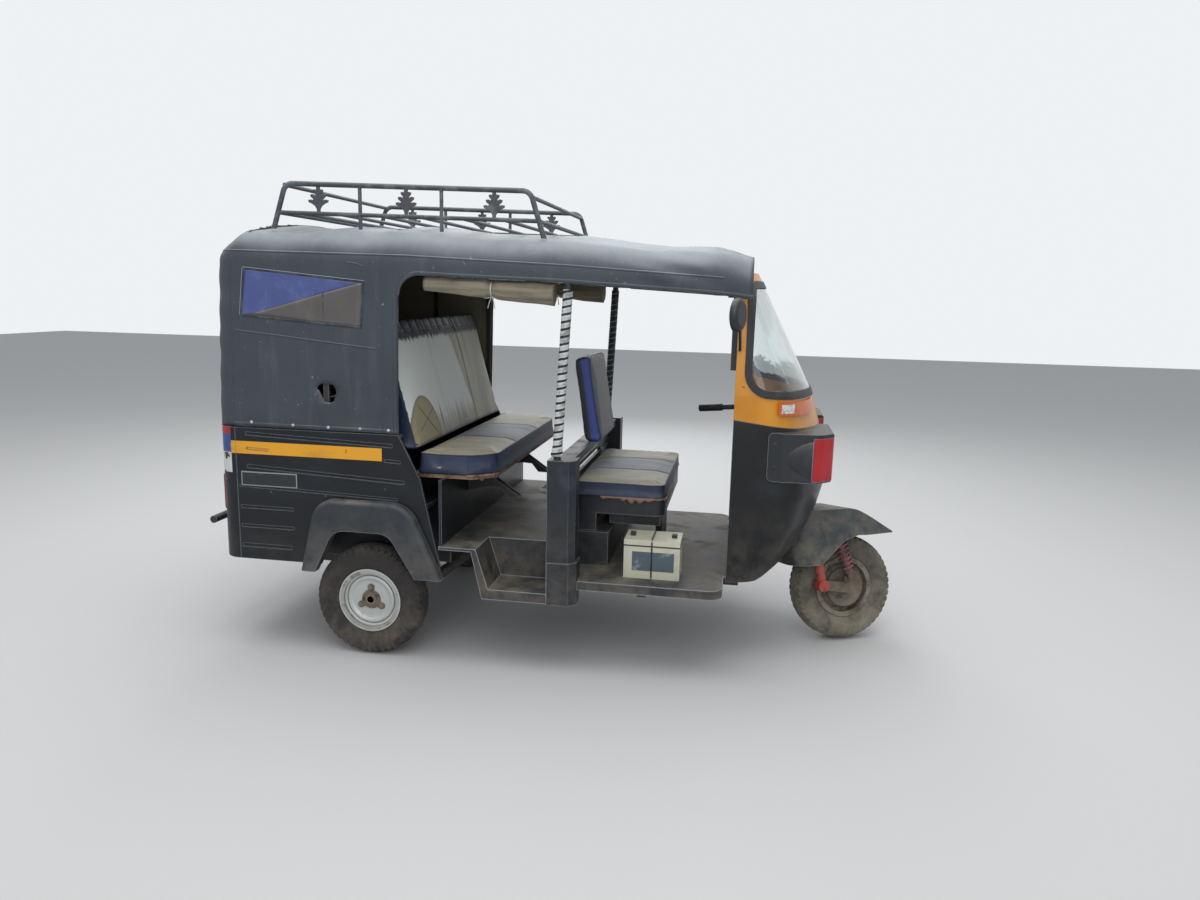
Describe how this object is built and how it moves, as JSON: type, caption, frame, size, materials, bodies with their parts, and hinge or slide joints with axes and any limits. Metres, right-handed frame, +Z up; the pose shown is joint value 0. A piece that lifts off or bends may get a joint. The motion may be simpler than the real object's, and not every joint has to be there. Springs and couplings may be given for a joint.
{
  "type": "auto rickshaw",
  "caption": "Three-wheeled passenger auto rickshaw with open sides, vinyl canopy, roof rack, bench seat and single-sided front suspension.",
  "frame": {"origin": "centre of the overall box on the ground, between the tyre contacts", "axes": "+X forward, +Y to the vehicle's left, +Z up"},
  "size_m": [3.1252, 1.484, 2.0472],
  "materials": {
    "body_paint": "worn dark blue-black enamel with dust",
    "frame_paint": "dull dark paint",
    "floor_paint": "scuffed dark paint with bare metal on the edges",
    "fender_grey": "weathered grey-black",
    "canopy_vinyl": "dusty slate vinyl cloth",
    "yellow_paint": "orange-yellow enamel",
    "rack_paint": "dark grey paint on tube",
    "curtain_cloth": "faded khaki cloth",
    "plywood": "raw board",
    "seat_vinyl": "dark blue seat vinyl with worn grey top",
    "back_vinyl": "worn whitened vinyl",
    "battery_case": "cream ribbed plastic",
    "gasket_rubber": "black rubber",
    "glass": "clear glass",
    "lamp_plastic": "dark grey moulding",
    "lamp_lens": "red-tinted lens",
    "amber_lens": "amber lens",
    "mirror_plastic": "black plastic",
    "engine_metal": "oily casting",
    "tyre_rubber": "dusty tyre rubber",
    "rim_silver": "silver enamel",
    "red_oxide": "faded red paint",
    "spring_steel": "dusty red spring"
  },
  "bodies": {
    "body": {"chassis_rails": "frame_paint", "cross_members": "frame_paint", "steering_head": "frame_paint", "pillars": "body_paint", "floor_pan": "floor_paint", "driver_floor": "floor_paint", "rear_deck": "body_paint", "side_panel_right": "body_paint", "side_panel_left": "body_paint", "rear_panel": "body_paint", "tail_lamps": "lamp_lens", "rear_fenders": "fender_grey", "partition": "body_paint", "canopy_hoops": "frame_paint", "roof_rails": "frame_paint", "roof_posts": "frame_paint", "canopy_rear": "canopy_vinyl", "canopy_roof": "canopy_vinyl", "roof_rack": "rack_paint", "curtain_rolls": "curtain_cloth", "passenger_seat_board": "plywood", "passenger_cushion": "seat_vinyl", "passenger_backrest": "back_vinyl", "driver_cushion": "seat_vinyl", "driver_seat_base": "frame_paint", "driver_backrest": "seat_vinyl", "battery": "battery_case", "front_cowl_lower": "body_paint", "front_cowl_upper": "yellow_paint", "windshield_gasket": "gasket_rubber", "windshield": "glass", "headlamp_housings": "lamp_plastic", "headlamp_lenses": "lamp_lens", "indicators": "amber_lens", "dashboard": "lamp_plastic", "mirrors": "mirror_plastic", "engine": "engine_metal", "rear_arms": "frame_paint", "rear_bumper": "frame_paint"},
    "lid": {"engine_lid": "body_paint"},
    "rear_wheel_right": {"rear_tyre_right": "tyre_rubber", "rear_rim_right": "rim_silver"},
    "rear_wheel_left": {"rear_tyre_left": "tyre_rubber", "rear_rim_left": "rim_silver"},
    "steering": {"steering_column": "red_oxide", "handlebar": "mirror_plastic", "front_link": "frame_paint", "front_shock": "spring_steel", "front_mudguard": "fender_grey"},
    "front_wheel": {"front_tyre": "tyre_rubber", "front_rim": "rim_silver"}
  },
  "joints": [
    {"name": "rear_right_spin", "type": "hinge", "parent": "body", "child": "rear_wheel_right", "pos_m": [-0.76263, -0.63, 0.2475], "axis": [0, 1, 0], "continuous": true},
    {"name": "rear_left_spin", "type": "hinge", "parent": "body", "child": "rear_wheel_left", "pos_m": [-0.76263, 0.63, 0.2475], "axis": [0, 1, 0], "continuous": true},
    {"name": "steer", "type": "hinge", "parent": "body", "child": "steering", "pos_m": [1.23737, 0, 0.2475], "axis": [-0.3746, 0, 0.9272], "range_deg": [-63, 13]},
    {"name": "front_spin", "type": "hinge", "parent": "steering", "child": "front_wheel", "pos_m": [1.31914, 0.03527, 0.24701], "axis": [-0.3918, 0.9063, -0.1583], "continuous": true},
    {"name": "lid_hinge", "type": "hinge", "parent": "body", "child": "lid", "pos_m": [-1.45963, 0, 0.902], "axis": [0, 1, 0], "range_deg": [0, 80]}
  ]
}
